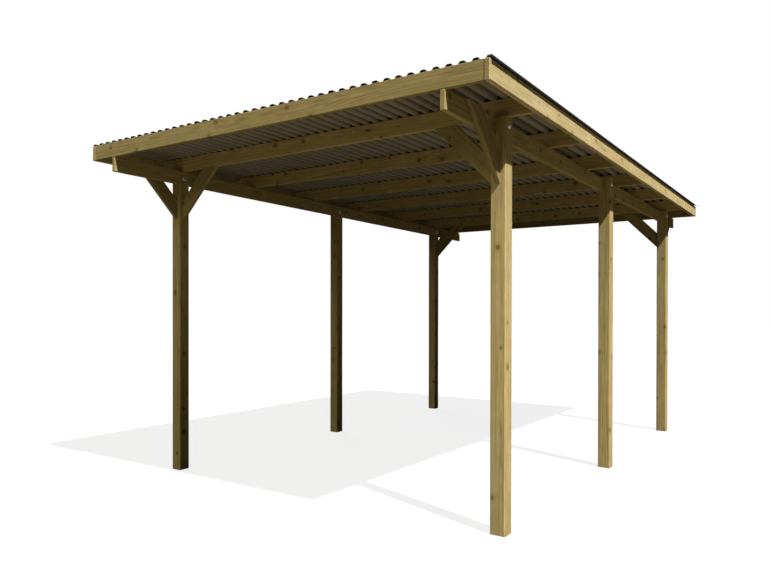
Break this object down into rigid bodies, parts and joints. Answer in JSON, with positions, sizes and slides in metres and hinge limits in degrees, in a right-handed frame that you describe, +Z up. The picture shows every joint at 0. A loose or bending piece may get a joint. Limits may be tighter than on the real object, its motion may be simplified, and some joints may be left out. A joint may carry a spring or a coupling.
{
  "type": "timber carport",
  "caption": "Open timber carport with notched posts, eaves beams, knee braces, rafters in a fascia frame and a ribbed flat roof falling to the rear.",
  "frame": {"origin": "on the ground under the middle of the whole plan, at the bottom centre of the bounding box", "axes": "+Z up, +Y from the front of the bay to the rear along the fall, +X to the right seen from the front"},
  "size_m": [3.0552, 5.0508, 2.3614],
  "materials": {
    "post_timber": "planed pressure-treated pine, greenish, matt",
    "beam_timber": "planed pressure-treated pine, greenish, matt",
    "rafter_timber": "planed pressure-treated pine, greenish, matt",
    "side_fascia_timber": "planed pressure-treated pine, greenish, matt",
    "end_fascia_timber": "planed pressure-treated pine, greenish, matt",
    "brace_timber": "planed pressure-treated pine, greenish, matt",
    "cross_brace_timber": "planed pressure-treated pine, greenish, matt",
    "roof_sheet": "anthracite rigid plastic, satin on top and dull grey-brown below"
  },
  "bodies": {
    "root": {"front_left_post": "post_timber", "front_right_post": "post_timber", "middle_left_post": "post_timber", "middle_right_post": "post_timber", "rear_left_post": "post_timber", "rear_right_post": "post_timber", "left_beam": "beam_timber", "left_fascia": "side_fascia_timber", "right_beam": "beam_timber", "right_fascia": "side_fascia_timber", "front_fascia": "end_fascia_timber", "rear_fascia": "end_fascia_timber", "rafter_1": "rafter_timber", "rafter_2": "rafter_timber", "rafter_3": "rafter_timber", "rafter_4": "rafter_timber", "rafter_5": "rafter_timber", "rafter_6": "rafter_timber", "front_left_brace": "brace_timber", "front_left_cross_brace": "cross_brace_timber", "front_right_brace": "brace_timber", "front_right_cross_brace": "cross_brace_timber", "rear_left_brace": "brace_timber", "rear_left_cross_brace": "cross_brace_timber", "rear_right_brace": "brace_timber", "rear_right_cross_brace": "cross_brace_timber", "roof_sheet_1": "roof_sheet", "roof_sheet_2": "roof_sheet", "roof_sheet_3": "roof_sheet"}
  },
  "joints": []
}
